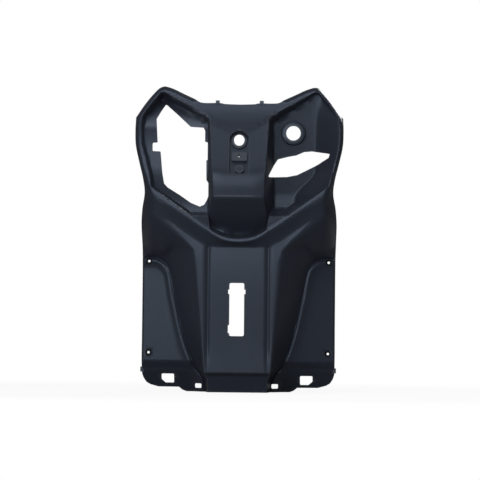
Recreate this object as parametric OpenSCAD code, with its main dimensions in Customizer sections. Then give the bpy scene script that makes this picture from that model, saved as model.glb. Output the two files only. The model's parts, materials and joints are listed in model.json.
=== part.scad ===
// Inner leg shield panel of a small scooter: one moulded skin, seen from the rider's side.
// Millimetres. X points to the rider's right, Z points up, the rider's side faces -Y.
// Heights are measured from a level just above the lowest edge, and depths towards the
// rider. The finished panel is then moved so that its origin is the middle of the four side
// screws, on the plane of their seats.

/* [Outline] */
// Height of the wing peaks
panel_height = 609; // [595:1:625]
// Half of the width across the wings
wing_half = 208; // [202:0.5:215]
// Half of the width at the outer corners of the wings
corner_half = 207; // [202:0.5:212]
// Height of the outer corners of the wings
corner_height = 546; // [535:1:560]
// Distance of each wing peak from the middle
peak_offset = 150; // [140:1:160]
// Half of the width at the waist
waist_half = 188.5; // [180:0.5:193]
// Height of the waist
waist_height = 397; // [390:1:405]
// Half of the width across the cheeks
cheek_half = 195.5; // [190:0.5:200]
// Half of the width across the foot pads
pad_half = 193.5; // [188:0.5:197]
// Height of the top edge between the wings
top_height = 577; // [570:0.5:582]
// How far the middle of the top edge dips
top_dip = 3.5; // [0:0.5:8]
// Height of the lower edge of the outer flanges
flange_low = 7; // [5:0.5:10]
// Height of the lower edge of the tunnel
tunnel_low = -2; // [-4:0.5:2]
// Thickness of the moulded skin
wall = 2.6; // [2:0.1:3.2]

/* [Depths] */
// Depth of the V ridge
ridge_depth = 84; // [78:0.5:90]
// Depth of the tunnel face at its foot
tunnel_low_depth = 67; // [60:0.5:70]
// Depth of the tunnel face under the V ridge
tunnel_high_depth = 72; // [70:0.5:76]
// Depth that the shoulders gain towards the sides
shoulder_gain = 5; // [2:0.5:8]
// Rim depth of the wings above the waist
rim_depth = 80; // [76:0.5:84]
// Rim depth at the wing peaks
peak_depth = 42; // [36:0.5:50]
// Depth of the column at the crease of its face
crease_depth = 107; // [102:0.5:112]
// Depth of the floor of the right pocket
pocket_depth = 24; // [18:0.5:32]
// Step back from the left rim to its flange
recess_step = 15; // [10:0.5:20]
// Height of the upper corners of the recess and the pocket, beside the column
recess_corner = 550; // [544:0.5:556]
// Rise of their upper edges for each unit of width
recess_rise = 0.58; // [0.54:0.01:0.62]

/* [Tunnel and pads] */
// Distance of each groove from the middle
groove_offset = 60; // [58:0.25:62]
// Depth of the grooves
groove_depth = 3.2; // [1.5:0.1:4]
// Half width of the tunnel at the foot of its shoulders
shoulder_low = 69; // [67:0.5:72]
// Half width of the tunnel at the top of its shoulders
shoulder_high = 85; // [82:0.5:88]
// Half width of the tunnel where its flanks meet the pads, low
foot_low = 92.5; // [88:0.5:97]
// Half width of the tunnel where its flanks meet the pads, high
foot_high = 135; // [130:0.5:140]
// Top of the pads
pad_top = 266; // [262:0.5:270]
// Lower edge of the pads
pad_bottom = 61.5; // [56:0.5:66]
// Lower edge of the tunnel face
tunnel_bottom = 38; // [34:0.5:44]
// Outward slope of the pads
pad_slope = 0.16; // [0.1:0.01:0.2]
// Height of the bead round the pads
bead_height = 4; // [2:0.25:6]

/* [V ridge] */
// Height of the V ridge in the middle
ridge_low = 303; // [300:0.5:306]
// Rise of the ridge for each unit of width
ridge_rise = 0.725; // [0.7:0.005:0.75]
// Height of the shoulder crest in the middle
shoulder_line_low = 289; // [286:0.5:292]
// Rise of the shoulder crest for each unit of width
shoulder_rise = 0.98; // [0.94:0.005:1.02]
// Top of the little shelf behind the ridge
shelf_top = 353; // [350:0.5:356]

/* [Column] */
// Half width of the column at pocket depth
column_half = 65; // [63:0.25:67]
// Height of the crease across the column
crease_height = 433; // [428:0.5:438]
// Height of the chin of the column
chin_height = 389; // [385:0.5:393]
// How far the chin stands out past the crease
chin_flare = 6.5; // [4:0.25:9]
// Lean of the column face above the crease
face_lean = 0.364; // [0.35:0.002:0.38]

/* [Key lock] */
// Height of the key hole
key_height = 502.5; // [499:0.5:506]
// Radius of the key hole
key_radius = 10; // [8:0.25:12]
// Radius of the recess round the key hole
key_recess_radius = 19.5; // [17:0.25:21]
// Lower end of the recess, measured down the face from the key hole
key_recess_drop = 71; // [68:0.5:73]
// Depth of the recess in the face of the column
key_recess_floor = 6; // [4:0.25:8]
// Length of the sleeve round the key hole
key_sleeve = 9; // [6:0.5:12]
// Depth of the two raised blocks in the recess, under the face
key_block_drop = 2; // [1:0.25:3]

/* [Accessory socket] */
// Distance of the socket hole from the middle
socket_x = 107.5; // [100:0.5:114]
// Height of the socket hole
socket_height = 517.5; // [512:0.5:523]
// Radius of the socket hole
socket_radius = 14.5; // [13:0.25:16]
// Outer radius of the collar round the socket hole
socket_collar = 24; // [20:0.5:27]
// How far the collar stands out of the pocket floor
collar_rise = 9; // [5:0.25:12]

/* [Slot] */
// Width of the slot in the tunnel
slot_width = 29.5; // [26:0.5:34]
// Height of the slot
slot_height = 106; // [96:1:114]
// Height of the lower end of the slot
slot_bottom = 111; // [104:0.5:120]
// Side step of the slot
slot_offset = -2; // [-3:0.25:0]

/* [Fixing holes] */
// Distance between the left and the right side screws
screw_spacing_x = 360; // [350:1:366]
// Distance between the lower and the upper side screws
screw_spacing_z = 183; // [170:1:186]
// Height of the lower side screws
screw_low = 76; // [74:0.5:90]
// Radius of the screw holes
screw_radius = 2.5; // [2:0.1:3.5]
// Radius of the flat seat round each screw hole
seat_radius = 6; // [5:0.1:7]
// Distance of each flange window from the middle
window_offset = 139; // [136:0.5:144]
// Height of the middle of the left flange window
left_window_height = 24.5; // [22:0.5:27]
// Height of the middle of the right flange window
right_window_height = 22; // [20:0.5:26]
// Width of the flange windows
window_width = 25; // [22:0.5:28]
// Distance of the left foot hole from the middle
left_foot_hole = 79.5; // [78:0.5:84]
// Distance of the right foot hole from the middle
right_foot_hole = 74; // [73:0.5:80]

/* [Hidden] */

samples_per_span = 6;
wing_crest = waist_height + 123;
recess_low_step = recess_step + 13;
screw_x = screw_spacing_x/2;
screw_heights = [screw_low, screw_low + screw_spacing_z];
seat_depth = -13;
boss_back = -21;
screw_middle = screw_low + screw_spacing_z/2;
face_angle = atan(face_lean);
key_depth = crease_depth - face_lean*(key_height - crease_height);
rib_wall = 2.2;
steepest = 6.5;
past = 200;

// Helpers

function limit(t) = min(1, max(0, t));
function ease(t) = let (u = limit(t)) u*u*(3 - 2*u);
function mix(a, b, t) = a + (b - a)*t;
function bump(offset, width) = exp(-pow(offset/width, 2));
function soft_min(a, b, k) =
  let (h = limit(0.5 + 0.5*(b - a)/k)) mix(b, a, h) - k*h*(1 - h);
function soft_max(a, b, k) = -soft_min(-a, -b, k);
// A smooth bend from level to a slope of one at the given place
function bend(t, place, width) =
  0.5*(sqrt(pow(t - place, 2) + width*width) + t - place);

// A smooth curve through points, sampled so that lookup() can read it
function tangent(p, i) =
  let (a = p[max(i - 1, 0)], b = p[min(i + 1, len(p) - 1)]) (b[1] - a[1])/(b[0] - a[0]);
function hermite(p, i, s) =
  let (h = p[i + 1][0] - p[i][0], s2 = s*s, s3 = s2*s)
  (2*s3 - 3*s2 + 1)*p[i][1] + (s3 - 2*s2 + s)*h*tangent(p, i)
  + (3*s2 - 2*s3)*p[i + 1][1] + (s3 - s2)*h*tangent(p, i + 1);
function smooth_curve(p) = [
  for (i = [0:len(p) - 2])
    for (k = [0:samples_per_span - 1])
      let (s = k/samples_per_span) [mix(p[i][0], p[i + 1][0], s), hermite(p, i, s)],
  p[len(p) - 1]
];

// Lines of the outline and of the features, each for the distance ax from the middle
// or for the height z

side_curve = smooth_curve([
  [flange_low, pad_half - 33],
  [flange_low + 2, pad_half - 25],
  [flange_low + 6, pad_half - 13],
  [flange_low + 12, pad_half - 7],
  [flange_low + 20, pad_half - 2.5],
  [flange_low + 31, pad_half],
  [(flange_low + pad_top)/2, pad_half],
  [pad_top, pad_half],
  [waist_height - 97, cheek_half - 1],
  [waist_height - 62, cheek_half],
  [waist_height - 32, mix(waist_half, cheek_half, 0.7)],
  [waist_height, waist_half],
  [waist_height + 28, mix(waist_half, wing_half, 0.17)],
  [waist_height + 58, mix(waist_half, wing_half, 0.54)],
  [waist_height + 93, mix(waist_half, wing_half, 0.93)],
  [wing_crest, wing_half],
  [corner_height, corner_half]
]);
function side_edge(z) = lookup(min(z, corner_height), side_curve);

top_curve = smooth_curve([
  [0, top_height - top_dip],
  [30, top_height - 0.7*top_dip],
  [38, top_height - 0.2*top_dip],
  [peak_offset - 73, top_height],
  [peak_offset - 60, mix(top_height, panel_height, 0.22)],
  [peak_offset - 40, mix(top_height, panel_height, 0.51)],
  [peak_offset - 20, mix(top_height, panel_height, 0.81)],
  [peak_offset - 7, panel_height - 1.5],
  [peak_offset, panel_height],
  [peak_offset + 7, panel_height - 1.5],
  [peak_offset + 15, panel_height - 7],
  [mix(peak_offset + 15, corner_half, 0.5), mix(panel_height - 7, corner_height, 0.44)],
  [corner_half, corner_height]
]);
function top_edge(ax) = lookup(ax, top_curve);
function bottom_edge(ax) = mix(tunnel_low, flange_low, ease((ax - 106)/14));

function ridge_line(ax) = ridge_low + ridge_rise*(bend(ax, 32, 18) - bend(0, 32, 18));
function shoulder_line(ax) =
  shoulder_line_low + shoulder_rise*(bend(ax, 86, 12) - bend(0, 86, 12));

shoulder_curve = smooth_curve([
  [tunnel_low - 4, shoulder_low - 10],
  [22, shoulder_low - 9],
  [38, shoulder_low - 3.5],
  [63, shoulder_low],
  [123, mix(shoulder_low, shoulder_high, 0.31)],
  [183, mix(shoulder_low, shoulder_high, 0.63)],
  [253, shoulder_high],
  [273, shoulder_high + 3.5],
  [290, shoulder_high + 8],
  [310, shoulder_high + 18],
  [340, shoulder_high + 40],
  [380, shoulder_high + 70]
]);
function shoulder_edge(z) = lookup(z, shoulder_curve);

foot_curve = smooth_curve([
  [tunnel_low - 4, shoulder_low - 2.5],
  [22, shoulder_low - 1],
  [34, mix(shoulder_low, foot_low, 0.3)],
  [48, mix(shoulder_low, foot_low, 0.78)],
  [pad_bottom, foot_low],
  [93, mix(foot_low, foot_high, 0.28)],
  [133, mix(foot_low, foot_high, 0.53)],
  [163, mix(foot_low, foot_high, 0.68)],
  [193, mix(foot_low, foot_high, 0.84)],
  [213, mix(foot_low, foot_high, 0.91)],
  [pad_top - 33, foot_high],
  [pad_top - 16, foot_high + 6],
  [pad_top - 1, foot_high + 14],
  [pad_top + 14, foot_high + 23],
  [pad_top + 34, foot_high + 37],
  [pad_top + 74, foot_high + 67]
]);
function foot_edge(z) = lookup(z, foot_curve);
function pad_edge(ax) = pad_top - 6*bump(ax - foot_high - 11, 14);

rim_curve = smooth_curve([
  [280, ridge_depth],
  [400, mix(rim_depth, ridge_depth, 0.5)],
  [450, rim_depth],
  [500, mix(rim_depth, peak_depth, 0.13)],
  [545, mix(rim_depth, peak_depth, 0.37)],
  [575, mix(rim_depth, peak_depth, 0.66)],
  [610, peak_depth - 1.5]
]);
function rim_at(z) = lookup(z, rim_curve);

// Depth of the pads, with the bead and the crease that follow their inner edge
function pad_form(ax, z) =
  let (inside = soft_min((ax - foot_edge(z))*0.93, pad_edge(ax) - z, 16))
  pad_slope*(110 - ax) + bead_height*bump(inside - 6, 5) - 2.5*bump(inside + 0.5, 2);

// Depth of the tunnel, of the cheeks that swing out of it and of the V ridge
function body_depth(ax, z) =
  mix(tunnel_low_depth, tunnel_high_depth, ease((z - 60)/220))
  + shoulder_gain*ease((ax - 90)/70);
function cheek_form(ax, z) =
  let (
    top = body_depth(ax, z),
    t = (z - pad_edge(ax))/(shoulder_line(ax) - pad_edge(ax)),
    u = limit(t),
    rise = t < 0 ? 1.6*t : 0.6*(1 - pow(1 - u, 2)) + 0.4*t
  )
  top*rise + (1 - u)*pad_form(ax, z);
function low_form(ax, z) =
  let (
    top = body_depth(ax, z),
    grooves = groove_depth*bump(ax - groove_offset, 4.2)
      *mix(0.25, 1, ease((z - 45)/50)*ease((300 - z)/14))*ease((z - 24)/10),
    flank = top/(foot_edge(z) - shoulder_edge(z))*(foot_edge(z) - ax),
    cheek = ax < 70 ? min(cheek_form(ax, z), top + 40) : cheek_form(ax, z),
    face = top - 0.35*ease((ax - 84)/24)*(z - shoulder_line(ax)) - grooves,
    body = soft_min(soft_max(flank, cheek, 16), face, 9),
    ridge = ridge_depth + 0.78*(z - ridge_line(ax)),
    across = ease((ax - 66)/28),
    lip_top = mix(tunnel_bottom, pad_bottom, across),
    lip_width = mix(9, 20, across),
    lip_step = mix(10, 13, across)
  )
  soft_max(soft_max(body, ridge, 7), pad_form(ax, z), 3)
  - lip_step*ease((lip_top - z)/lip_width) - mix(0.35, 0.75, across)*max(0, lip_top - lip_width - z);

// Depth of the steering column between the wings
function column_form(ax, z) =
  let (
    chin = crease_depth + chin_flare + 1.5 + 0.92*(z - chin_height),
    waist = crease_depth
      + chin_flare*pow(min(60, max(0, crease_height - z))/(crease_height - chin_height), 2),
    face = crease_depth - face_lean*(z - crease_height) - 0.011*pow(max(0, z - 538), 2),
    front = soft_min(soft_min(waist, face, 5), chin, 7),
    low = 1 - ease((z - 405)/45),
    side = 40 + 6*(column_half - ax)
  )
  soft_min(front - 3.2*low*pow(min(2, max(0, (ax - 26)/30)), 2), side, mix(14, 24, low));

// Depth of the wings: a rim, a shallow recess on the left and a deep pocket on the right
function wing_form(x, z) =
  let (
    ax = abs(x),
    right = x > 0,
    rim = rim_at(z),
    lean = (top_edge(ax + 1) - top_edge(ax - 1))/2,
    from_corner = recess_corner + recess_rise*(ax - column_half) - z,
    from_top = soft_min(
      (top_edge(ax) - z)/sqrt(1 + lean*lean),
      8 + from_corner/sqrt(1 + recess_rise*recess_rise),
      4
    ),
    from_side = side_edge(z) - ax,
    from_ridge = z - ridge_line(ax) - 2,
    left_floor = rim - mix(recess_step, recess_low_step, ease((455 - z)/90)),
    right_floor = pocket_depth + 0.1*(z - 500) + 12*ease((400 - z)/40),
    floor = mix(left_floor, right_floor, ease((x + 30)/60)),
    right_foot = 153 - 40*ease((445 - z)/60),
    right_rim = side_edge(z) - 9,
    side_wall = right
      ? right_floor + (rim - right_floor)*(ax - right_foot)/(right_rim - right_foot)
      : rim + 3.2*(mix(12.5, 16, bump(z - 450, 40)) - from_side),
    top_wall = right ? rim + 3.6*(8 - from_top) : rim + 3.2*(10 - from_top),
    shelf = 44/max(shelf_top - ridge_line(ax), 10),
    low_wall = rim + 2 - mix(4.2, shelf, ease((ax - 56)/5))*from_ridge,
    tub = soft_max(soft_max(floor, side_wall, 6), soft_max(top_wall, low_wall, 4), 5)
  )
  soft_max(soft_min(tub, rim, 4), column_form(ax, z), 5);

// How far the edge is turned back, and over what width, for the height
turn_widths = [[248, 4], [270, 6], [285, 26], [370, 30], [410, 14], [440, 9], [620, 8]];
turn_depths = [[50, 3], [80, 7], [268, 9], [290, 34], [370, 40], [410, 22], [440, 16], [620, 13]];

// Depth of the whole rider's side, with its edge turned back
function front(x, z) =
  let (
    ax = abs(x),
    high = z - ridge_line(ax),
    skin = high < -14 ? low_form(ax, z)
      : high > 26 ? wing_form(x, z)
      : soft_min(low_form(ax, z), wing_form(x, z), 7),
    turn_width = lookup(z, turn_widths),
    turn_depth = lookup(z, turn_depths),
    lean = (top_edge(ax + 1) - top_edge(ax - 1))/2,
    from_top = (top_edge(ax) - z)/sqrt(1 + lean*lean) + 20*ease((96 - ax)/30),
    t = limit(1 - soft_min(side_edge(z) - ax, from_top, 6)/turn_width)
  )
  skin - turn_depth*pow(t, 2.2);

// How much deeper the skin is, measured along Y, than across its wall
function stretch(x, z) =
  let (
    step = 0.6,
    gx = (front(x + step, z) - front(x - step, z))/(2*step),
    gz = (front(x, z + step) - front(x, z - step))/(2*step)
  )
  min(steepest, sqrt(1 + gx*gx + gz*gz));

// Lines of the grid that the skin is moulded on. They follow the grooves, shoulders,
// beads and rims, so that every edge of the form falls on a line.

function column_lines(z) =
  let (
    up = ease((z - 250)/70),
    side = side_edge(z),
    shoulder = shoulder_edge(min(z, 300)),
    foot = foot_edge(min(z, 280)),
    gap = foot - shoulder,
    slim = min(1, shoulder/shoulder_low)
  )
  concat(
    [for (line = [
      [0, 0], [13, 13], [26, 25], [40, 37], [50, 46], [54.5, 51], [57.5, 54],
      [60, 57.5], [62.5, 61.5], [65, 66]
    ]) mix(slim*line[0], line[1], up)],
    [
      mix(shoulder - 1.5, 73, up), mix(shoulder + min(3, 0.2*gap), 82, up),
      mix(shoulder + 0.4*gap, 93, up), mix(shoulder + 0.66*gap, 106, up),
      mix(foot - min(5, 0.15*gap), 119, up), mix(foot - 0.5, 130, up), mix(foot + 3, 141, up),
      mix(foot + 7, 151, up), mix(foot + 13, mix(151, side - 28, 0.5), up),
      mix(mix(foot + 13, side - 18, 0.5), side - 28, up), mix(side - 18, side - 20, up),
      mix(side - 10, side - 14.5, up), mix(side - 6, side - 10, up), side - 4, side - 2, side
    ]
  );
half_lines = len(column_lines(0)) - 1;

function row_lines(ax) =
  let (
    bottom = bottom_edge(ax),
    across = ease((ax - 66)/28),
    lip = mix(tunnel_bottom, pad_bottom, across),
    lip_foot = lip - mix(9, 20, across),
    pad = pad_edge(ax),
    shoulder = shoulder_line(ax),
    ridge = ridge_line(ax),
    shelf = max(shelf_top + 2, ridge + 13),
    top = top_edge(ax),
    rim = top - 17
  )
  concat(
    [bottom, mix(bottom, lip_foot, 0.5), lip_foot, mix(lip_foot, lip, 0.5), lip, lip + 3],
    [for (t = [0.18, 0.38, 0.57, 0.74, 0.87]) mix(lip, pad - 10, t)],
    [pad - 10, pad - 5, pad - 1, pad + 1.5],
    [for (t = [0.12, 0.26, 0.42, 0.6, 0.78, 0.91]) mix(pad, shoulder, t)],
    [for (t = [0.02, 0.2, 0.42, 0.66, 0.86]) mix(shoulder, ridge, t)],
    [ridge - 1, ridge + 1.5, ridge + 4, ridge + 7.5, ridge + 11, mix(ridge + 11, shelf, 0.5), shelf],
    [for (t = [0.07, 0.13, 0.16, 0.19, 0.26, 0.34, 0.38, 0.41, 0.52, 0.64, 0.76, 0.88])
      mix(shelf, rim, t)],
    [rim, top - 12.5, top - 10, top - 7, top - 3.5, top]
  );
row_count = len(row_lines(0));

function grid_x(i, z) = let (lines = column_lines(z)) sign(i)*lines[abs(i)];
grid = [
  for (j = [0:row_count - 1])
    for (i = [-half_lines:half_lines])
      let (
        guess = abs(grid_x(i, row_lines(abs(grid_x(i, 260)))[j])),
        z = row_lines(guess)[j],
        x = grid_x(i, z)
      )
      [x, j == row_count - 1 ? min(z, top_edge(abs(x))) : z]
];
columns = 2*half_lines + 1;
count = columns*row_count;
depths = [for (p = grid) front(p[0], p[1])];
backs = [for (k = [0:count - 1]) depths[k] - wall*stretch(grid[k][0], grid[k][1])];

function corner(i, j) = j*columns + i;

module skin() {
  points = concat(
    [for (k = [0:count - 1]) [grid[k][0], -depths[k], grid[k][1]]],
    [for (k = [0:count - 1]) [grid[k][0], -backs[k], grid[k][1]]]
  );
  faces = concat(
    [for (j = [0:row_count - 2]) for (i = [0:columns - 2])
      let (
        a = corner(i, j), b = corner(i, j + 1), c = corner(i + 1, j + 1), d = corner(i + 1, j),
        along = abs(depths[a] - depths[c]) <= abs(depths[b] - depths[d])
      )
      each along
        ? [[a, b, c], [a, c, d], [a + count, c + count, b + count], [a + count, d + count, c + count]]
        : [[a, b, d], [b, c, d], [a + count, d + count, b + count], [b + count, d + count, c + count]]
    ],
    [for (i = [0:columns - 2])
      let (
        a = corner(i, 0), d = corner(i + 1, 0),
        b = corner(i, row_count - 1), c = corner(i + 1, row_count - 1)
      )
      each [[a, d, d + count], [a, d + count, a + count], [c, b, b + count], [c, b + count, c + count]]
    ],
    [for (j = [0:row_count - 2])
      let (
        a = corner(0, j), b = corner(0, j + 1),
        d = corner(columns - 1, j), c = corner(columns - 1, j + 1)
      )
      each [[b, a, a + count], [b, a + count, b + count], [d, c, c + count], [d, c + count, d + count]]
    ]
  );
  polyhedron(points, faces, convexity = 12);
}

// Solids drawn on the XZ plane and run from one depth to another
module between_depths(back, near) {
  translate([0, -back, 0]) rotate([90, 0, 0]) linear_extrude(near - back) children();
}
module round_between(x, z, back, near, radius) {
  translate([x, -back, z]) rotate([90, 0, 0]) cylinder(h = near - back, r = radius, $fn = 72);
}
module rounded(radius) {
  offset(r = radius, $fn = 24) offset(delta = -radius) children();
}

// Openings

left_opening = [
  [-147.9, 573], [-123.7, 552], [-97.5, 528], [-71.5, 526.5], [-68.5, 520], [-68.5, 498],
  [-63, 497.5], [-63, 462], [-65.5, 461.5], [-65, 422], [-61, 416], [-61, 390],
  [-64, 382], [-69, 373], [-78, 369], [-96, 376.5], [-120, 393], [-142, 406.5],
  [-149.5, 414.5], [-153, 435.5], [-157, 478.5], [-173, 479], [-173, 495.5], [-163, 496],
  [-164.5, 519.5], [-166, 543.5], [-157, 559]
];
pocket_opening = [
  [58, 429], [68, 451.5], [77, 465], [98.5, 470.5], [113, 473], [129, 480], [145, 481.5],
  [166, 478.5], [181, 476.5], [178.5, 469], [156, 454.5], [135.5, 444], [115.5, 434],
  [95, 430]
];

module slot_outline() {
  translate([slot_offset - slot_width/2, slot_bottom]) {
    rounded(4) square([slot_width, slot_height]);
    translate([-2.5, slot_height - 22]) square([slot_width + 5, 9]);
    translate([-2.5, 6]) square([slot_width/2, 16]);
  }
}
module flange_window() {
  half = window_width/2;
  polygon([[-half, 9], [half, 9], [half, -2], [half - 8, -9], [-half, -9]]);
}
module openings() {
  between_depths(-past, past) rounded(2.5) polygon(left_opening);
  between_depths(-past, past) rounded(2) polygon(pocket_opening);
  between_depths(-past, past) slot_outline();
  for (s = [-1, 1]) {
    between_depths(-past, past) scale([s, 1])
      translate([window_offset - 2*s, s < 0 ? left_window_height : right_window_height])
        flange_window();
    for (z = screw_heights) {
      round_between(s*screw_x, z, seat_depth, past, seat_radius);
      round_between(s*screw_x, z, boss_back - 1, past, screw_radius);
    }
  }
  for (x = [-left_foot_hole, right_foot_hole])
    between_depths(-past, past) translate([x - 6.5, 5.5]) square([13, 9]);
  round_between(socket_x, socket_height, -past, past, socket_radius);
}

// The key lock stands square to the leaning face of the column. Here x runs to the right,
// y up the face and z out of it, from the centre of the key hole.
module on_column_face() {
  translate([0, -key_depth, key_height]) rotate([90 - face_angle, 0, 0]) children();
}
module key_outline(extra) {
  hull() {
    circle(key_recess_radius + extra, $fn = 48);
    translate([-key_recess_radius - extra, -key_recess_drop - extra])
      square([2*(key_recess_radius + extra), 4]);
  }
}
module key_cup() {
  on_column_face() {
    translate([0, 0, -key_recess_floor - wall]) linear_extrude(key_recess_floor + wall - 0.8)
      key_outline(wall);
    translate([0, 0, -key_recess_floor - key_sleeve])
      cylinder(h = key_sleeve, r = key_radius + 3, $fn = 72);
  }
}
module key_blocks() {
  translate([-15.5, -42]) square([32, 17]);
  translate([0, -60.5]) circle(8.5, $fn = 48);
}
module key_cuts() {
  on_column_face() {
    translate([0, 0, -key_block_drop]) linear_extrude(past) key_outline(0);
    translate([0, 0, -key_recess_floor]) linear_extrude(past) difference() {
      key_outline(0);
      key_blocks();
    }
    translate([0, 0, -key_recess_floor - key_sleeve - 1])
      cylinder(h = past, r = key_radius, $fn = 72);
    translate([0, -33.5, -past]) cylinder(h = 2*past, r = 2.5, $fn = 48);
  }
}

// A round hollow boss carries the socket, with a sleeve inside it
module socket_seat() {
  floor = front(socket_x, socket_height);
  round_between(socket_x, socket_height, floor - 3, floor + collar_rise, socket_collar);
}
module socket_hollow() {
  floor = front(socket_x, socket_height);
  difference() {
    round_between(
      socket_x, socket_height, floor - 60, floor + collar_rise - wall, socket_collar - wall
    );
    round_between(socket_x, socket_height, floor - 6, floor + past, socket_radius + wall);
  }
}
module screw_bosses() {
  for (s = [-1, 1]) for (z = screw_heights)
    round_between(s*screw_x, z, boss_back, seat_depth + 1, seat_radius + 2);
}

// Small lugs on the top edge and at the sides of the lower flanges
module lugs() {
  for (s = [-1, 1]) {
    translate([s*44 - 4, -front(44, top_height - 4) - 0.5, top_height - 8])
      cube([8, wall, 12.5]);
    translate([s*(pad_half - 1) - 4, -front(pad_half - 6, 41), 37]) cube([8, wall, 10]);
  }
}

// Stiffening rib behind the skin, level at height z from x0 to x1
module level_rib(z, x0, x1, drop) {
  stations = [for (k = [0:12]) mix(x0, x1, k/12)];
  translate([0, 0, z]) linear_extrude(rib_wall) polygon(concat(
    [for (x = stations) [x, 0.5*wall*stretch(x, z) - front(x, z)]],
    [for (k = [12:-1:0]) [stations[k], drop - front(stations[k], z)]]
  ));
}

module inner_panel() {
  color([0.13, 0.14, 0.17]) translate([0, seat_depth, -screw_middle]) difference() {
    union() {
      skin();
      key_cup();
      socket_seat();
      screw_bosses();
      lugs();
      for (z = [80, 240]) level_rib(z, -46, 46, 14);
    }
    key_cuts();
    socket_hollow();
    openings();
  }
}

inner_panel();
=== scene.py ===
import json
import math

import bmesh
import bpy
import numpy as np
from mathutils import Matrix, Vector


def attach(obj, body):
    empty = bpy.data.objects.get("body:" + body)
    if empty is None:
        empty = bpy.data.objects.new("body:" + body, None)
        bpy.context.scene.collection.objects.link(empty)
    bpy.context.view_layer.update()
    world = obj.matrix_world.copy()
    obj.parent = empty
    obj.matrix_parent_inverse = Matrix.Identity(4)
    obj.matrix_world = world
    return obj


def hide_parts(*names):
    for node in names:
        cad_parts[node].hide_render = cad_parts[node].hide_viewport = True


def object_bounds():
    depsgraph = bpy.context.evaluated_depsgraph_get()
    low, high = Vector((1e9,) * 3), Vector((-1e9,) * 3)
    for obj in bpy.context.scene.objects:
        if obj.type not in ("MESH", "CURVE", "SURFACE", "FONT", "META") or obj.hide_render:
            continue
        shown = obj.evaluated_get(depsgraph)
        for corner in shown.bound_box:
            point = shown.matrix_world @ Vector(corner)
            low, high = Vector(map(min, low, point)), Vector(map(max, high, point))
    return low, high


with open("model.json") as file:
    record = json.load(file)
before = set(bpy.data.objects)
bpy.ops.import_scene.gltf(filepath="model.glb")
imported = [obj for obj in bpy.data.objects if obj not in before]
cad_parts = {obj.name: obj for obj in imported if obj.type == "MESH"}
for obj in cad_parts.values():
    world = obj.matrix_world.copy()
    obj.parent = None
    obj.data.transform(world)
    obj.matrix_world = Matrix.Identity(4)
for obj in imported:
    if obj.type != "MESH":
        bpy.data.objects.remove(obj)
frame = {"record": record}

cadLow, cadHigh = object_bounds()
record = frame["record"]
mounts = {mount["name"]: mount for mount in record["mounts"]}
print("frame loaded")

# The panel's own measures are millimetres: x to the right, z up, depth towards the rider

screws = mounts["side_screws"]["dims"]
panel = {
    "wall": 2.6,
    "height": 609,              # of the wing peaks
    "wingHalf": 208,            # half widths of the outline, from the top down
    "cornerHalf": 207,
    "waistHalf": 188.5,
    "cheekHalf": 195.5,
    "padHalf": 193.5,
    "cornerHeight": 546,
    "waistHeight": 397,
    "peakOffset": 150,
    "topHeight": 577,
    "topDip": 3.5,
    "flangeLow": 7,
    "tunnelLow": -2,
    "ridgeDepth": 86,
    "tunnelLowDepth": 67,
    "tunnelHighDepth": 72,
    "shoulderGain": 3,
    "rimDepth": 80,
    "peakDepth": 42,
    "creaseDepth": 105,
    "pocketDepth": 24,
    "recessStep": 15,
    "recessCorner": 550,
    "recessRise": 0.58,
    "grooveOffset": 60,
    "grooveDepth": 3.2,
    "shoulderLow": 69,
    "shoulderHigh": 85,
    "footLow": 92.5,
    "footHigh": 135,
    "padTop": 266,
    "padBottom": 61.5,
    "tunnelBottom": 38,
    "padSlope": 0.16,
    "beadHeight": 3.4,
    "ridgeLow": 303,
    "ridgeRise": 0.725,
    "shoulderLineLow": 278,
    "shoulderRise": 0.94,
    "coveLow": 289,             # where the face starts to swing out to the V ridge
    "coveRise": 0.68,
    "shelfTop": 353,
    "columnHalf": 65,
    "creaseHeight": 433,
    "chinHeight": 389,
    "chinFlare": 8.2,
    "faceLean": 0.364,
    "steepest": 6.5,
    "seatDepth": -13,           # plane of the screw seats
    "screwMiddle": 76 + screws["spacing_y_mm"]/2,
    "finer": 4,                 # parts that each span of the grid is cut into
}
p = panel


def limit(t):
    return np.clip(t, 0.0, 1.0)


def ease(t):
    u = limit(t)
    return u*u*(3 - 2*u)


def mix(a, b, t):
    return a + (b - a)*t


def bump(offset, width):
    return np.exp(-(offset/width)**2)


def softMin(a, b, k):
    h = limit(0.5 + 0.5*(b - a)/k)
    return mix(b, a, h) - k*h*(1 - h)


def softMax(a, b, k):
    return -softMin(-a, -b, k)


def bend(t, place, width):      # from level to a slope of one at the place
    return 0.5*(np.sqrt((t - place)**2 + width*width) + t - place)


def smoothCurve(points):
    xs, ys = np.array(points, float).T
    last = len(xs) - 1
    before = np.maximum(np.arange(last + 1) - 1, 0)
    after = np.minimum(np.arange(last + 1) + 1, last)
    slopes = (ys[after] - ys[before])/(xs[after] - xs[before])

    def curve(place):
        place = np.clip(place, xs[0], xs[-1])
        i = np.clip(np.searchsorted(xs, place, side="right") - 1, 0, last - 1)
        span = xs[i + 1] - xs[i]
        s = (place - xs[i])/span
        return ((2*s**3 - 3*s**2 + 1)*ys[i] + (s**3 - 2*s**2 + s)*span*slopes[i]
                + (3*s**2 - 2*s**3)*ys[i + 1] + (s**3 - s**2)*span*slopes[i + 1])
    return curve


# Outline and feature lines

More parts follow.
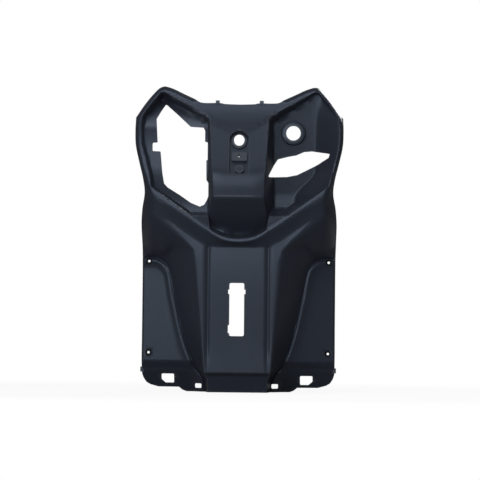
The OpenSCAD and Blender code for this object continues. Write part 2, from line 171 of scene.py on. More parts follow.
sideCurve = smoothCurve([
    (p["flangeLow"], p["padHalf"] - 33),
    (p["flangeLow"] + 2, p["padHalf"] - 25),
    (p["flangeLow"] + 6, p["padHalf"] - 13),
    (p["flangeLow"] + 12, p["padHalf"] - 7),
    (p["flangeLow"] + 20, p["padHalf"] - 2.5),
    (p["flangeLow"] + 31, p["padHalf"]),
    ((p["flangeLow"] + p["padTop"])/2, p["padHalf"]),
    (p["padTop"], p["padHalf"]),
    (p["waistHeight"] - 97, p["cheekHalf"] - 1),
    (p["waistHeight"] - 62, p["cheekHalf"]),
    (p["waistHeight"] - 32, mix(p["waistHalf"], p["cheekHalf"], 0.7)),
    (p["waistHeight"], p["waistHalf"]),
    (p["waistHeight"] + 28, mix(p["waistHalf"], p["wingHalf"], 0.17)),
    (p["waistHeight"] + 58, mix(p["waistHalf"], p["wingHalf"], 0.54)),
    (p["waistHeight"] + 93, mix(p["waistHalf"], p["wingHalf"], 0.93)),
    (p["waistHeight"] + 123, p["wingHalf"]),
    (p["cornerHeight"], p["cornerHalf"]),
])
topCurve = smoothCurve([
    (0, p["topHeight"] - p["topDip"]),
    (30, p["topHeight"] - 0.7*p["topDip"]),
    (38, p["topHeight"] - 0.2*p["topDip"]),
    (p["peakOffset"] - 73, p["topHeight"]),
    (p["peakOffset"] - 60, mix(p["topHeight"], p["height"], 0.22)),
    (p["peakOffset"] - 40, mix(p["topHeight"], p["height"], 0.51)),
    (p["peakOffset"] - 20, mix(p["topHeight"], p["height"], 0.81)),
    (p["peakOffset"] - 7, p["height"] - 1.5),
    (p["peakOffset"], p["height"]),
    (p["peakOffset"] + 7, p["height"] - 1.5),
    (p["peakOffset"] + 15, p["height"] - 7),
    (mix(p["peakOffset"] + 15, p["cornerHalf"], 0.5),
     mix(p["height"] - 7, p["cornerHeight"], 0.44)),
    (p["cornerHalf"], p["cornerHeight"]),
])
shoulderCurve = smoothCurve([
    (p["tunnelLow"] - 4, p["shoulderLow"] - 10),
    (22, p["shoulderLow"] - 9),
    (38, p["shoulderLow"] - 3.5),
    (63, p["shoulderLow"]),
    (123, mix(p["shoulderLow"], p["shoulderHigh"], 0.31)),
    (183, mix(p["shoulderLow"], p["shoulderHigh"], 0.63)),
    (253, p["shoulderHigh"]),
    (273, p["shoulderHigh"] + 3.5),
    (290, p["shoulderHigh"] + 8),
    (310, p["shoulderHigh"] + 18),
    (340, p["shoulderHigh"] + 40),
    (380, p["shoulderHigh"] + 70),
])
footCurve = smoothCurve([
    (p["tunnelLow"] - 4, p["shoulderLow"] - 2.5),
    (22, p["shoulderLow"] - 1),
    (34, mix(p["shoulderLow"], p["footLow"], 0.3)),
    (48, mix(p["shoulderLow"], p["footLow"], 0.78)),
    (p["padBottom"], p["footLow"]),
    (93, mix(p["footLow"], p["footHigh"], 0.28)),
    (133, mix(p["footLow"], p["footHigh"], 0.53)),
    (163, mix(p["footLow"], p["footHigh"], 0.68)),
    (193, mix(p["footLow"], p["footHigh"], 0.84)),
    (213, mix(p["footLow"], p["footHigh"], 0.91)),
    (p["padTop"] - 33, p["footHigh"]),
    (p["padTop"] - 16, p["footHigh"] + 6),
    (p["padTop"] - 1, p["footHigh"] + 14),
    (p["padTop"] + 14, p["footHigh"] + 23),
    (p["padTop"] + 34, p["footHigh"] + 37),
    (p["padTop"] + 74, p["footHigh"] + 67),
])
rimCurve = smoothCurve([
    (280, p["ridgeDepth"]),
    (400, mix(p["rimDepth"], p["ridgeDepth"], 0.5)),
    (450, p["rimDepth"]),
    (500, mix(p["rimDepth"], p["peakDepth"], 0.13)),
    (545, mix(p["rimDepth"], p["peakDepth"], 0.37)),
    (575, mix(p["rimDepth"], p["peakDepth"], 0.66)),
    (610, p["peakDepth"] - 1.5),
])


def bottomEdge(ax):
    return mix(p["tunnelLow"], p["flangeLow"], ease((ax - 106)/14))


def ridgeLine(ax):
    return p["ridgeLow"] + p["ridgeRise"]*(bend(ax, 32, 18) - bend(0, 32, 18))


def shoulderLine(ax):
    return p["shoulderLineLow"] + p["shoulderRise"]*(bend(ax, 86, 12) - bend(0, 86, 12))


def coveLine(ax):
    line = p["coveLow"] + p["coveRise"]*(bend(ax, 64, 8) - bend(0, 64, 8))
    return mix(line, shoulderLine(ax), ease((ax - 138)/24))


def padEdge(ax):
    return p["padTop"] - 6*bump(ax - p["footHigh"] - 11, 14)


# Depth of each part of the skin

def padForm(ax, z):             # flat pads with a bead along their inner edge
    inside = softMin((ax - footCurve(z))*0.93, padEdge(ax) - z, 16)
    return (p["padSlope"]*(110 - ax) + p["beadHeight"]*bump(inside - 6.5, 6.5)
            - 2.5*bump(inside + 0.5, 2))


def lowForm(ax, z):             # tunnel, cheeks and V ridge
    top = (mix(p["tunnelLowDepth"], p["tunnelHighDepth"], ease((z - 60)/220))
           + p["shoulderGain"]*ease((ax - 90)/70))
    grooves = (p["grooveDepth"]*bump(ax - p["grooveOffset"], 4.2)
               * mix(0.25, 1, ease((z - 45)/50)*ease((300 - z)/14))*ease((z - 24)/10))
    foot, shoulder, pad = footCurve(z), shoulderCurve(z), padForm(ax, z)
    flank = top/(foot - shoulder)*(foot - ax)
    t = (z - padEdge(ax))/(shoulderLine(ax) - padEdge(ax))
    u = limit(t)
    rise = np.where(t < 0, 1.6*t, 0.6*(1 - (1 - u)**2) + 0.4*t)
    cheek = top*rise + (1 - u)*pad
    cheek = np.where(ax < 70, np.minimum(cheek, top + 40), cheek)
    cove, ridge = coveLine(ax), ridgeLine(ax)
    out = np.maximum(0, (z - cove)/(ridge - 4.5 - cove))
    swing = (p["ridgeDepth"] - top)*np.minimum(out, 1.6)**1.25
    face = top + swing - grooves
    body = softMin(softMax(flank, cheek, 12), face, 5)
    across = ease((ax - 66)/28)
    lipTop = mix(p["tunnelBottom"], p["padBottom"], across)
    lipWidth = mix(9, 20, across)
    return (softMax(body, pad, 3)
            - mix(10, 13, across)*ease((lipTop - z)/lipWidth)
            - mix(0.35, 0.75, across)*np.maximum(0, lipTop - lipWidth - z))


def columnForm(ax, z):          # cover of the steering column
    chin = p["creaseDepth"] + p["chinFlare"] + 1.5 + 0.92*(z - p["chinHeight"])
    below = np.clip(p["creaseHeight"] - z, 0, 60)/(p["creaseHeight"] - p["chinHeight"])
    waist = p["creaseDepth"] + p["chinFlare"]*below**2
    face = (p["creaseDepth"] - p["faceLean"]*(z - p["creaseHeight"])
            - 0.011*np.maximum(0, z - 538)**2)
    frontFace = softMin(softMin(waist, face, 5), chin, 7)
    low = 1 - ease((z - 405)/45)
    side = 40 + 6*(p["columnHalf"] - ax)
    crown = 3.2*low*np.clip((ax - 26)/30, 0, 2)**2
    return softMin(frontFace - crown, side, mix(14, 24, low))


def leanOfTop(ax):
    return (topCurve(ax + 1) - topCurve(ax - 1))/2


def wingForm(x, z):             # a shallow recess on the left and a deep pocket on the right
    ax = np.abs(x)
    right = x > 0
    rim = rimCurve(z)
    fromCorner = p["recessCorner"] + p["recessRise"]*(ax - p["columnHalf"]) - z
    fromTop = softMin((topCurve(ax) - z)/np.sqrt(1 + leanOfTop(ax)**2),
                      8 + fromCorner/math.sqrt(1 + p["recessRise"]**2), 4)
    fromSide = sideCurve(z) - ax
    fromRidge = z - ridgeLine(ax) - 2
    leftFloor = (rim - mix(p["recessStep"], p["recessStep"] + 13, ease((455 - z)/90))
                 - 0.45*(bend(z, 528, 8) - 4))
    rightFloor = p["pocketDepth"] + 0.1*(z - 500) + 3*ease((400 - z)/40)
    floor = mix(leftFloor, rightFloor, ease((x + 30)/60))
    rightFoot = 153 - 40*ease((445 - z)/60)
    rightRim = sideCurve(z) - 9
    sideWall = np.where(
        right,
        rightFloor + (rim - rightFloor)*(ax - rightFoot)/(rightRim - rightFoot),
        rim + 3.2*(mix(12.5, 16, bump(z - 450, 40)) - fromSide))
    topWall = np.where(right, rim + 3.6*(8 - fromTop), rim + 3.2*(10 - fromTop))
    shelf = np.maximum(p["shelfTop"] - 4 - ridgeLine(ax), 0)*ease((ax - 56)/5)
    lowWall = rim + 2 - 0.4*np.minimum(fromRidge, shelf) - 4.2*np.maximum(fromRidge - shelf, 0)
    tub = softMax(softMax(floor, sideWall, 6), softMax(topWall, lowWall, 4), 5)
    return softMax(softMin(tub, rim, 4), columnForm(ax, z), 5)


turnWidths = np.array([[248, 4], [270, 6], [285, 26], [370, 30], [410, 14], [440, 9], [620, 8]]).T
turnDepths = np.array([[50, 3], [80, 7], [268, 9], [290, 34], [370, 40], [410, 22], [440, 16],
                       [620, 13]]).T


def front(x, z):                # depth of the rider's side, with its edge turned back
    ax = np.abs(x)
    high = z - ridgeLine(ax)
    low, wing = lowForm(ax, z), wingForm(x, z)
    skin = np.where(high < -14, low, np.where(high > 26, wing, softMin(low, wing, 2.5)))
    fromTop = (topCurve(ax) - z)/np.sqrt(1 + leanOfTop(ax)**2) + 20*ease((96 - ax)/30)
    t = limit(1 - softMin(sideCurve(z) - ax, fromTop, 6)/np.interp(z, *turnWidths))
    return skin - np.interp(z, *turnDepths)*t**2.2


def stretch(x, z):
    step = 0.6
    gx = (front(x + step, z) - front(x - step, z))/(2*step)
    gz = (front(x, z + step) - front(x, z - step))/(2*step)
    return np.minimum(p["steepest"], np.sqrt(1 + gx*gx + gz*gz))


# Lines of the grid, which follow the grooves, shoulders, beads and rims

def columnLines(z):
    up = ease((z - 250)/70)
    side = sideCurve(z)
    shoulder = shoulderCurve(np.minimum(z, 300))
    foot = footCurve(np.minimum(z, 280))
    gap = foot - shoulder
    slim = np.minimum(1, shoulder/p["shoulderLow"])
    near = [mix(slim*low, high, up) for low, high in (
        (0, 0), (13, 13), (26, 25), (40, 37), (50, 46), (54.5, 51), (57.5, 54), (60, 57.5),
        (62.5, 61.5), (65, 66))]
    far = [mix(low, high, up) for low, high in (
        (shoulder - 1.5, 73), (shoulder + np.minimum(3, 0.2*gap), 82),
        (shoulder + 0.4*gap, 93), (shoulder + 0.66*gap, 106),
        (foot - np.minimum(5, 0.15*gap), 119), (foot - 0.5, 130), (foot + 3, 141),
        (foot + 7, 151), (foot + 13, mix(151, side - 28, 0.5)),
        (mix(foot + 13, side - 18, 0.5), side - 28), (side - 18, side - 20),
        (side - 10, side - 14.5), (side - 6, side - 10))]
    return np.array(near + far + [side - 4, side - 2, side])


def rowLines(ax):
    bottom, top = bottomEdge(ax), topCurve(ax)
    across = ease((ax - 66)/28)
    lip = mix(p["tunnelBottom"], p["padBottom"], across)
    lipFoot = lip - mix(9, 20, across)
    pad, shoulder, ridge = padEdge(ax), shoulderLine(ax), ridgeLine(ax)
    shelf = np.maximum(p["shelfTop"] + 2, ridge + 13)
    rim = top - 17
    lines = [bottom, mix(bottom, lipFoot, 0.5), lipFoot, mix(lipFoot, lip, 0.5), lip, lip + 3]
    lines += [mix(lip, pad - 10, t) for t in (0.18, 0.38, 0.57, 0.74, 0.87)]
    lines += [pad - 10, pad - 5, pad - 1, pad + 1.5]
    lines += [mix(pad, shoulder, t) for t in (0.12, 0.26, 0.42, 0.6, 0.78, 0.91)]
    lines += [mix(shoulder, ridge, t) for t in (0.02, 0.2, 0.42, 0.66, 0.86)]
    lines += [ridge - 1, ridge + 1.5, ridge + 4, ridge + 7.5, ridge + 11,
              mix(ridge + 11, shelf, 0.5), shelf]
    lines += [mix(shelf, rim, t) for t in (0.07, 0.13, 0.16, 0.19, 0.26, 0.34, 0.38, 0.41,
                                           0.52, 0.64, 0.76, 0.88)]
    lines += [rim, top - 12.5, top - 10, top - 7, top - 3.5, top]
    return np.array(lines)


def between(lines, place):      # value at a place between two of the lines
    low = np.minimum(place.astype(int), len(lines) - 2)
    a = np.take_along_axis(lines, low[None], 0)[0]
    b = np.take_along_axis(lines, low[None] + 1, 0)[0]
    return mix(a, b, place - low)


def toMetres(points):           # from (x, depth, z) in millimetres to the frame's metres
    x, depth, z = np.array(points, float).T
    return np.stack([x, p["seatDepth"] - depth, z - p["screwMiddle"]], 1)/1000


def makeMesh(name, points, faces):
    mesh = bpy.data.meshes.new(name)
    mesh.from_pydata([tuple(v) for v in points], [], [tuple(f) for f in faces])
    piece = bpy.data.objects.new(name, mesh)
    bpy.context.scene.collection.objects.link(piece)
    return piece


def mouldSkin():
    finer = p["finer"]
    halfLines = len(columnLines(np.zeros(1))) - 1
    rows = (len(rowLines(np.zeros(1))) - 1)*finer + 1
    columns = 2*halfLines*finer + 1
    i, j = np.meshgrid(np.arange(columns) - halfLines*finer, np.arange(rows))
    i, j = i.ravel(), j.ravel()
    across, upward = np.abs(i)/finer, j/finer
    first = between(rowLines(between(columnLines(np.full(i.shape, 260.0)), across)), upward)
    guess = between(columnLines(first), across)
    z = between(rowLines(guess), upward)
    x = np.sign(i)*between(columnLines(z), across)
    z = np.where(j == rows - 1, np.minimum(z, topCurve(np.abs(x))), z)
    near = front(x, z)
    back = near - p["wall"]*stretch(x, z)
    points = toMetres(np.concatenate([np.stack([x, near, z], 1), np.stack([x, back, z], 1)]))
    count = columns*rows
    r, c = np.meshgrid(np.arange(rows - 1), np.arange(columns - 1), indexing="ij")
    a = (r*columns + c).ravel()         # corners of each cell, b above a, d beside it, e across
    b, d, e = a + columns, a + 1, a + columns + 1
    along = np.abs(near[a] - near[e]) <= np.abs(near[b] - near[d])
    pick = lambda yes, no: np.where(along[:, None], np.stack(yes, 1), np.stack(no, 1))
    faces = [
        pick((a, d, e), (a, d, b)), pick((a, e, b), (d, e, b)),
        count + pick((a, e, d), (a, b, d)), count + pick((a, b, e), (b, e, d)),
    ]
    ring = np.concatenate([
        np.arange(columns), np.arange(1, rows)*columns + columns - 1,
        (rows - 1)*columns + np.arange(columns - 2, -1, -1),
        np.arange(rows - 2, 0, -1)*columns])
    after = np.roll(ring, -1)
    faces = np.concatenate(faces).tolist()
    faces += np.stack([after, ring, ring + count, after + count], 1).tolist()
    return makeMesh("innerPanel", points, faces)


innerPanel = mouldSkin()
print("skin moulded")


# Solids that are joined to the skin or cut out of it

def upright(u, v, w):           # outline on the XZ plane, w is the depth
    return (u, w, v)


def onColumnFace(u, v, w):      # u to the right, v up the leaning face, w out of it
    lean = math.atan(p["faceLean"])
    depth = p["creaseDepth"] - p["faceLean"]*(lockSizes["height"] - p["creaseHeight"])
    return (u, depth - v*math.sin(lean) + w*math.cos(lean),
            lockSizes["height"] + v*math.cos(lean) + w*math.sin(lean))


def closed(name, points, faces):
    piece = makeMesh(name, toMetres(points), faces)
    shape = bmesh.new()
    shape.from_mesh(piece.data)
    bmesh.ops.remove_doubles(shape, verts=shape.verts, dist=1e-7)
    bmesh.ops.recalc_face_normals(shape, faces=shape.faces)
    shape.to_mesh(piece.data)
    shape.free()
    return piece


def prism(name, outline, back, near, place=upright):
    n = len(outline)
    points = [place(u, v, w) for w in (back, near) for u, v in outline]
    sides = [(k, (k + 1) % n, n + (k + 1) % n, n + k) for k in range(n)]
    return closed(name, points, sides + [tuple(range(n)), tuple(range(n, 2*n))])


def turned(name, profile, centre, place=upright, steps=96):
    points, n = [], len(profile)
    for k in range(steps):
        angle = 2*math.pi*k/steps
        for radius, along in profile:
            points.append(place(centre[0] + radius*math.cos(angle),
                                centre[1] + radius*math.sin(angle), along))
    faces = []
    for k in range(steps):
        a, b = k*n, (k + 1) % steps*n
        faces += [(a + m, a + m + 1, b + m + 1, b + m) for m in range(n - 1)]
    return closed(name, points, faces)


def rod(name, centre, radius, back, near, place=upright):
    return turned(name, [(0, back), (radius, back), (radius, near), (0, near)], centre, place)


def rounded(outline, radius, steps=5):
    result = []
    n = len(outline)
    for k in range(n):
        here = np.array(outline[k], float)
        before = np.array(outline[k - 1], float) - here
        after = np.array(outline[(k + 1) % n], float) - here
        lengths = np.linalg.norm(before), np.linalg.norm(after)
        cosine = np.dot(before, after)/(lengths[0]*lengths[1])
        half = math.acos(max(-1, min(1, cosine)))/2
        reach = min(radius/math.tan(half), 0.45*lengths[0], 0.45*lengths[1])
        start, end = here + before/lengths[0]*reach, here + after/lengths[1]*reach
        for m in range(steps + 1):
            t = m/steps
            result.append(tuple((1 - t)**2*start + 2*t*(1 - t)*here + t*t*end))
    return result


def box(x0, x1, z0, z1):
    return [(x0, z0), (x1, z0), (x1, z1), (x0, z1)]


holes = {
    "glovebox": [
        (-147.9, 573), (-123.7, 552), (-97.5, 528), (-71.5, 526.5), (-68.5, 520), (-68.5, 498),
        (-63, 497.5), (-63, 462), (-65.5, 461.5), (-65, 422), (-61, 416), (-61, 390),
        (-64, 382), (-69, 373), (-78, 369), (-96, 376.5), (-120, 393), (-142, 406.5),
        (-149.5, 414.5), (-153, 435.5), (-157, 478.5), (-173, 479), (-173, 495.5), (-163, 496),
        (-164.5, 519.5), (-166, 543.5), (-157, 559)],
    "pocket": [
        (58, 429), (68, 451.5), (77, 465), (98.5, 470.5), (113, 473), (129, 480), (145, 481.5),
        (166, 478.5), (181, 476.5), (178.5, 469), (156, 454.5), (135.5, 444), (115.5, 434),
        (95, 430)],
    "leftFoot": box(-86, -73, 5.5, 14.5),
    "rightFoot": box(67.5, 80.5, 5.5, 14.5),
    "leftFlange": [(-153.5, 33.5), (-128.5, 33.5), (-128.5, 15.5), (-145.5, 15.5), (-153.5, 22.5)],
    "rightFlange": [(124.5, 31), (149.5, 31), (149.5, 20), (141.5, 13), (124.5, 13)],
}
slot = {"width": 29.5, "height": 106, "bottom": 111, "left": -16.75, "ear": 2.5, "earDrop": 22,
        "earHeight": 9, "footWidth": 12, "footLow": 6, "footHigh": 22}
socket = mounts["accessory_socket"]
socketSizes = {"radius": socket["dims"]["r_mm"], "x": socket["pos_m"][0]*1000,
               "z": socket["pos_m"][2]*1000 + p["screwMiddle"], "collar": 24, "rise": 9}
lockSizes = {"height": 502.5, "radius": mounts["key_lock"]["dims"]["r_mm"], "recess": 19.5,
             "drop": 71, "floor": 10, "sleeve": 5, "collar": 15.5, "collarDrop": 6,
             "blockDrop": 2.5, "pin": -33}
screwSizes = {"radius": screws["hole_r_mm"], "seat": 6, "boss": 8, "back": -21,
              "x": screws["spacing_x_mm"]/2, "z": screws["spacing_y_mm"]/2}
past = 200


def lockOutline(extra):
    r = lockSizes["recess"] + extra
    arc = [(r*math.cos(math.pi*k/32), r*math.sin(math.pi*k/32)) for k in range(33)]
    foot = -lockSizes["drop"] - extra
    return arc + [(-r, foot), (r, foot)]


def level(z, x0, x1, drop, thickness=2.2):      # stiffening rib behind the skin
    x = np.linspace(x0, x1, 25)
    near = front(x, z) - 0.5*p["wall"]*stretch(x, z)
    far = front(x, z) - drop
    n = len(x)
    points, faces = [], []
    for height in (z, z + thickness):
        points += [(a, b, height) for a, b in zip(x, near)]
        points += [(a, b, height) for a, b in zip(x[::-1], far[::-1])]
    m = 2*n
    faces += [(k, (k + 1) % m, m + (k + 1) % m, m + k) for k in range(m)]
    return closed("rib", points, faces + [tuple(range(m)), tuple(range(m, 2*m))])


def cuboid(name, x0, x1, back, near, z0, z1):
    return prism(name, box(x0, x1, z0, z1), back, near)


def joined():
    floor = float(front(socketSizes["x"], socketSizes["z"]))
    collar, top = socketSizes["collar"], floor + socketSizes["rise"]
    yield prism("lockCup", lockOutline(p["wall"]), -lockSizes["floor"] - p["wall"], -0.8,
                onColumnFace)
    yield rod("lockSleeve", (0, 0), lockSizes["radius"] + 3,
              -lockSizes["floor"] - lockSizes["sleeve"], -lockSizes["floor"] - 0.2, onColumnFace)
    yield turned("socketBoss", [(0, floor - 3), (collar + 0.8, floor - 3),
                                (collar + 0.6, floor + 0.6), (collar, floor + 2),
                                (collar - 0.4, top - 1.2), (collar - 0.9, top - 0.4),
                                (collar - 1.8, top), (0, top)],
                 (socketSizes["x"], socketSizes["z"]))
    for s in (-1, 1):
        for z in (-screwSizes["z"], screwSizes["z"]):
            yield rod("boss", (s*screwSizes["x"], z + p["screwMiddle"]), screwSizes["boss"],
                      screwSizes["back"], p["seatDepth"] + 1)
        depth = float(front(44, p["topHeight"] - 4))
        yield cuboid("topLug", s*44 - 4, s*44 + 4, depth + 0.5 - p["wall"], depth + 0.5,
                     p["topHeight"] - 8, p["topHeight"] + 4.5)
        depth = float(front(p["padHalf"] - 6, 41))
        x = s*(p["padHalf"] - 1)
        yield cuboid("sideLug", x - 4, x + 4, depth - p["wall"], depth, 37, 47)
    for z in (80, 240):
        yield level(z, -46, 46, 14)


def cut():
    for name, outline in holes.items():
        yield prism(name, rounded(outline, 2.5, 4), -past, past)
    left, right, low = slot["left"], slot["left"] + slot["width"], slot["bottom"]
    earLow = low + slot["height"] - slot["earDrop"]
    main = box(left, right, low, low + slot["height"])
    ears = box(left - slot["ear"], right + slot["ear"], earLow, earLow + slot["earHeight"])
    foot = box(left - slot["ear"], left + slot["footWidth"],
               low + slot["footLow"], low + slot["footHigh"])
    yield prism("slotCut", rounded(main, 4, 6), -past, past)
    yield prism("slotEars", rounded(ears, 1, 3), -past, past)
    yield prism("slotFoot", rounded(foot, 1, 3), -past, past)
    for s in (-1, 1):
        for z in (-screwSizes["z"], screwSizes["z"]):
            at = (s*screwSizes["x"], z + p["screwMiddle"])
            yield rod("seat", at, screwSizes["seat"], p["seatDepth"], past)
            yield rod("screwHole", at, screwSizes["radius"], screwSizes["back"] - 1, past)
    at = (socketSizes["x"], socketSizes["z"])
    depth = float(front(*at))
    inner, outer = socketSizes["radius"] + p["wall"], socketSizes["collar"] - p["wall"]
    under = depth + socketSizes["rise"] - p["wall"]
    yield turned("socketHollow", [(inner, depth - 60), (outer, depth - 60), (outer, under),
                                  (inner, under), (inner, depth - 60)], at)
    yield rod("socketHole", at, socketSizes["radius"], -past, past)
    floor = -lockSizes["floor"]
    yield prism("lockRecess", lockOutline(0), floor, past, onColumnFace)


def blocks():                   # raised parts in the recess, round the key hole and under it
    floor, top = -lockSizes["floor"] - 0.5, -lockSizes["blockDrop"]
    collar, collarTop = lockSizes["collar"], -lockSizes["collarDrop"]
    yield turned("lockCollar", [(0, floor), (collar, floor), (collar, collarTop - 0.8),
                                (collar - 0.8, collarTop), (0, collarTop)], (0, 0), onColumnFace)
    yield prism("shutterBlock", rounded(box(-14, 16, -43, -25), 1.5), floor, top, onColumnFace)
    yield turned("shutterButton", [(0, floor), (9, floor), (9, top - 0.8), (8.2, top),
                                   (5.4, top), (4.6, top - 0.8), (0, top - 0.8)],
                 (1.5, -60.5), onColumnFace)


def lockHoles():                # the key hole is also open straight from the front
    yield rod("keyHole", (0, 0), lockSizes["radius"], -past, past, onColumnFace)
    yield rod("keyView", (0, lockSizes["height"]), lockSizes["radius"] + 0.6, -past, past)
    yield rod("pinHole", (0, lockSizes["pin"]), 2.6, -past, past, onColumnFace)


def shape(piece, solids, operation):
    for solid in solids:
        change = piece.modifiers.new(solid.name, "BOOLEAN")
        change.operation = operation
        change.solver = "MANIFOLD"
        change.object = solid
        mesh = bpy.data.meshes.new_from_object(
            piece.evaluated_get(bpy.context.evaluated_depsgraph_get()))
        piece.modifiers.clear()
        if len(mesh.polygons) < 1000:
            print("the cut failed:", solid.name)
        else:
            piece.data = mesh
        bpy.data.objects.remove(solid)


shape(innerPanel, joined(), "UNION")
shape(innerPanel, cut(), "DIFFERENCE")
shape(innerPanel, blocks(), "UNION")
shape(innerPanel, lockHoles(), "DIFFERENCE")
print("solids joined and cut:", len(innerPanel.data.polygons), "faces")


def markEdges(piece, angle):    # sharp edges by angle, and an attribute that is 1 along them
    mesh = piece.data
    mesh.polygons.foreach_set("use_smooth", [True]*len(mesh.polygons))
    mesh.set_sharp_from_angle(angle=math.radians(angle))
    worn = np.zeros(len(mesh.vertices))
    shape = bmesh.new()
    shape.from_mesh(mesh)
    for edge in shape.edges:
        if len(edge.link_faces) == 2 and not edge.smooth and edge.calc_face_angle_signed(0) > 0:
            for vertex in edge.verts:
                worn[vertex.index] = 1
    shape.free()
    attribute = mesh.attributes.new("worn", "FLOAT", "POINT")
    attribute.data.foreach_set("value", worn)


def markSeatShade(piece):           # an attribute that is 1 in the seats of the screws, where painted shade darkens the colour
    mesh = piece.data
    place = np.zeros(3*len(mesh.vertices))
    mesh.vertices.foreach_get("co", place)
    x, y, z = place.reshape(-1, 3).T*1000
    away = np.hypot(np.abs(x) - screwSizes["x"], np.abs(z) - screwSizes["z"])
    attribute = mesh.attributes.new("seat", "FLOAT", "POINT")
    attribute.data.foreach_set("value", (away < screwSizes["seat"] + 0.3).astype(float))


markEdges(innerPanel, 38)
markSeatShade(innerPanel)


# Materials

class Value:
    def __init__(self, tree, socket):
        self.tree, self.socket = tree, socket

    def math(self, operation, a, b):
        return self.node("ShaderNodeMath", {"operation": operation}, {0: a, 1: b})

    def node(self, kind, settings=None, values=None, output=0):
        made = self.tree.nodes.new(kind)
        for name, value in (settings or {}).items():
            setattr(made, name, value)
        for name, value in (values or {}).items():
            if isinstance(value, Value):
                self.tree.links.new(value.socket, made.inputs[name])
            else:
                made.inputs[name].default_value = value
        return Value(self.tree, made.outputs[output])

    def __add__(self, other): return self.math("ADD", self, other)
    def __radd__(self, other): return self.math("ADD", other, self)
    def __sub__(self, other): return self.math("SUBTRACT", self, other)
    def __rsub__(self, other): return self.math("SUBTRACT", other, self)
    def __mul__(self, other): return self.math("MULTIPLY", self, other)
    def __rmul__(self, other): return self.math("MULTIPLY", other, self)


def newMaterial(name):
    material = bpy.data.materials.new(name)
    material.use_nodes = True
    tree = material.node_tree
    tree.nodes.clear()
    output = tree.nodes.new("ShaderNodeOutputMaterial")
    return material, Value(tree, None), output


plastic = {
    "colour": (0.019, 0.023, 0.034, 1),
    "dusty": (0.025, 0.029, 0.041, 1),
    "worn": (0.060, 0.066, 0.080, 1),
    # painted shade: near-black colour for the screw seats, standing in for the shadow in their
    # counterbores
    "shaded": (0.004, 0.005, 0.006, 1),
    "roughness": 0.31,
    "gloss": 0.25,
    "glossTint": (0.64, 0.79, 1.0, 1),
    "grain": 1500,              # bumps to the metre
    "grainHeight": 0.00004,
}


def mouldedPlastic():
    material, maker, output = newMaterial("grained_panel_plastic")
    place = maker.node("ShaderNodeTexCoord", output=3)
    wide = maker.node("ShaderNodeTexNoise", {"noise_dimensions": "3D"},
                      {"Vector": place, "Scale": 9.0, "Detail": 4.0, "Roughness": 0.6})
    fine = maker.node("ShaderNodeTexNoise", {"noise_dimensions": "3D"},
                      {"Vector": place, "Scale": 420.0, "Detail": 2.0})
    grain = maker.node("ShaderNodeTexVoronoi", {"feature": "SMOOTH_F1"},
                       {"Vector": place, "Scale": plastic["grain"], "Smoothness": 0.6})
    worn = maker.node("ShaderNodeAttribute", {"attribute_name": "worn"}, output=2)
    tint = maker.node("ShaderNodeMix", {"data_type": "RGBA"},
                      {0: wide*0.7 + fine*0.3, 6: plastic["colour"], 7: plastic["dusty"]}, output=2)
    colour = maker.node("ShaderNodeMix", {"data_type": "RGBA"},
                        {0: worn*(0.35 + fine*0.4), 6: tint, 7: plastic["worn"]}, output=2)
    # painted shade in the screw seats: the seat attribute mixes in the near-black shaded colour
    seat = maker.node("ShaderNodeAttribute", {"attribute_name": "seat"}, output=2)
    colour = maker.node("ShaderNodeMix", {"data_type": "RGBA"},
                        {0: seat*0.9, 6: colour, 7: plastic["shaded"]}, output=2)
    relief = maker.node("ShaderNodeBump", None,
                        {"Strength": 0.35, "Distance": plastic["grainHeight"], "Height": grain})
    shader = maker.node("ShaderNodeBsdfPrincipled", None, {
        "Base Color": colour,
        "Roughness": (wide - 0.5)*0.1 + (fine - 0.5)*0.12 + seat*0.5 + plastic["roughness"],
        "Specular IOR Level": plastic["gloss"],
        "Specular Tint": plastic["glossTint"],
        "Normal": relief,
    })
    maker.tree.links.new(shader.socket, output.inputs["Surface"])
    return material


innerPanel.data.materials.clear()
innerPanel.data.materials.append(mouldedPlastic())
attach(innerPanel, "root")
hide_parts("inner_panel")
print("panel finished")


# Floor, lamps and camera

studio = {
    "floorSize": 14.0,
    "world": 0.04,
    "mirrored": 0.05,           # share of the white surroundings that the gloss shows
    "shading": 0.1,             # share of its own shading that the floor shows near the panel
    "bounce": (0.22, 0.22, 0.22, 1),        # colour by which the floor lights the panel
    "near": (0.7, 1.3),         # distances between which that share fades out
    "lampDistance": 2.6,
    "lampAim": (0, -0.05, 0.13),
    "lampSize": 1.0,
    "lamps": {                  # turn round the panel, elevation, light on what faces it
        "left": (-34, 5, 0.22),
        "front": (-6, 9, 0.30),
        "highLeft": (-45, 45, 0.14),
        "top": (-4, 60, 0.32),
        "right": (48, 18, 0.10),
        "behind": (150, 28, 0.5),
    },
}
view = {
    "millimetresAcross": 960,   # of the whole picture, at the panel
    "aim": (2.7, -50, 135.5),
    "distance": 16000,
    "turn": 1.2,
    "roll": 0.55,
}


def cleanRays(maker):           # 1 for the camera and through glass, a share for the gloss
    rays = maker.node("ShaderNodeLightPath").socket.node
    seen = Value(maker.tree, rays.outputs["Is Camera Ray"])
    mirrored = Value(maker.tree, rays.outputs["Is Glossy Ray"])
    through = Value(maker.tree, rays.outputs["Is Transmission Ray"])
    return maker.node("ShaderNodeMath", {"operation": "MINIMUM"},
                      {0: seen + mirrored*studio["mirrored"] + through, 1: 1.0})


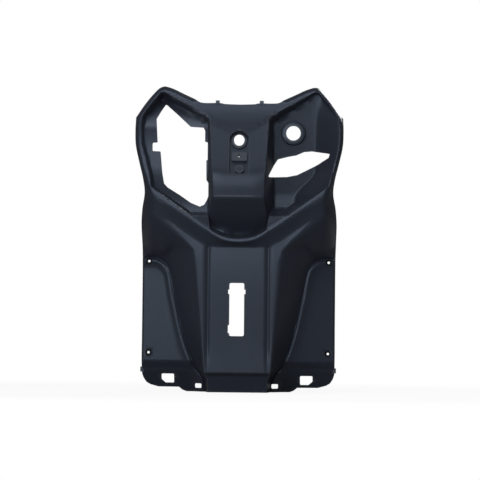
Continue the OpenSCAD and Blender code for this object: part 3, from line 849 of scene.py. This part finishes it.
def paleSurface(name, colour):
    material, maker, output = newMaterial(name)
    place = maker.node("ShaderNodeNewGeometry")
    reach = maker.node("ShaderNodeVectorMath", {"operation": "LENGTH"}, {0: place}, output=1)
    fade = maker.node("ShaderNodeMapRange", {"interpolation_type": "SMOOTHSTEP"}, {
        "Value": reach, "From Min": studio["near"][0], "From Max": studio["near"][1],
        "To Min": 1 - studio["shading"], "To Max": 1.0})
    seen = Value(maker.tree, maker.node("ShaderNodeLightPath").socket.node.outputs["Is Camera Ray"])
    tint = maker.node("ShaderNodeMix", {"data_type": "RGBA"},
                      {0: seen, 6: studio["bounce"], 7: colour}, output=2)
    matt = maker.node("ShaderNodeBsdfDiffuse", None, {"Color": tint})
    white = maker.node("ShaderNodeEmission", None, {"Color": (1, 1, 1, 1), "Strength": 1.0})
    surface = maker.node("ShaderNodeMixShader", None, {0: cleanRays(maker)*fade, 1: matt, 2: white})
    maker.tree.links.new(surface.socket, output.inputs["Surface"])
    return material


def layFloor():
    half, low = studio["floorSize"]/2, cadLow.z
    points = [(-half, -half, low), (half, -half, low), (half, half, low), (-half, half, low)]
    floor = makeMesh("floor", points, [(0, 1, 2, 3)])
    floor.data.materials.append(paleSurface("pale_floor", (0.85, 0.85, 0.85, 1)))


def lightWorld():
    world = bpy.data.worlds.new("studio")
    bpy.context.scene.world = world
    world.use_nodes = True
    tree = world.node_tree
    tree.nodes.clear()
    maker = Value(tree, None)
    strength = cleanRays(maker)*(1 - studio["world"]) + studio["world"]
    sky = maker.node("ShaderNodeBackground", None, {"Color": (1, 1, 1, 1), "Strength": strength})
    output = tree.nodes.new("ShaderNodeOutputWorld")
    tree.links.new(sky.socket, output.inputs["Surface"])


def addLamp(name, turn, rise, strength):
    turn, rise, reach = math.radians(turn), math.radians(rise), studio["lampDistance"]
    data = bpy.data.lights.new(name, "AREA")
    data.size = studio["lampSize"]
    data.energy = strength*(math.pi*reach)**2
    lamp = bpy.data.objects.new(name, data)
    bpy.context.scene.collection.objects.link(lamp)
    toLamp = Vector((math.sin(turn)*math.cos(rise), -math.cos(turn)*math.cos(rise),
                     math.sin(rise)))
    lamp.location = Vector(studio["lampAim"]) + toLamp*reach
    lamp.rotation_euler = toLamp.to_track_quat("Z", "Y").to_euler()


def setCamera():
    data = bpy.data.cameras.new("camera")
    camera = bpy.data.objects.new("camera", data)
    bpy.context.scene.collection.objects.link(camera)
    data.sensor_width = 36
    data.lens = data.sensor_width*view["distance"]/view["millimetresAcross"]
    data.clip_end = 100
    turn, roll = math.radians(view["turn"]), math.radians(view["roll"])
    back = Vector((math.sin(turn), -math.cos(turn), 0))
    up = Vector((-math.sin(roll)*math.cos(turn), -math.sin(roll)*math.sin(turn), math.cos(roll)))
    right = up.cross(back)
    place = Vector(view["aim"])/1000 + back*view["distance"]/1000
    camera.matrix_world = Matrix((right, up, back)).transposed().to_4x4()
    camera.location = place
    bpy.context.scene.camera = camera


layFloor()
lightWorld()
for name, (turn, rise, strength) in studio["lamps"].items():
    addLamp(name, turn, rise, strength)
setCamera()
bpy.context.scene.view_settings.view_transform = "Standard"
print("studio set")
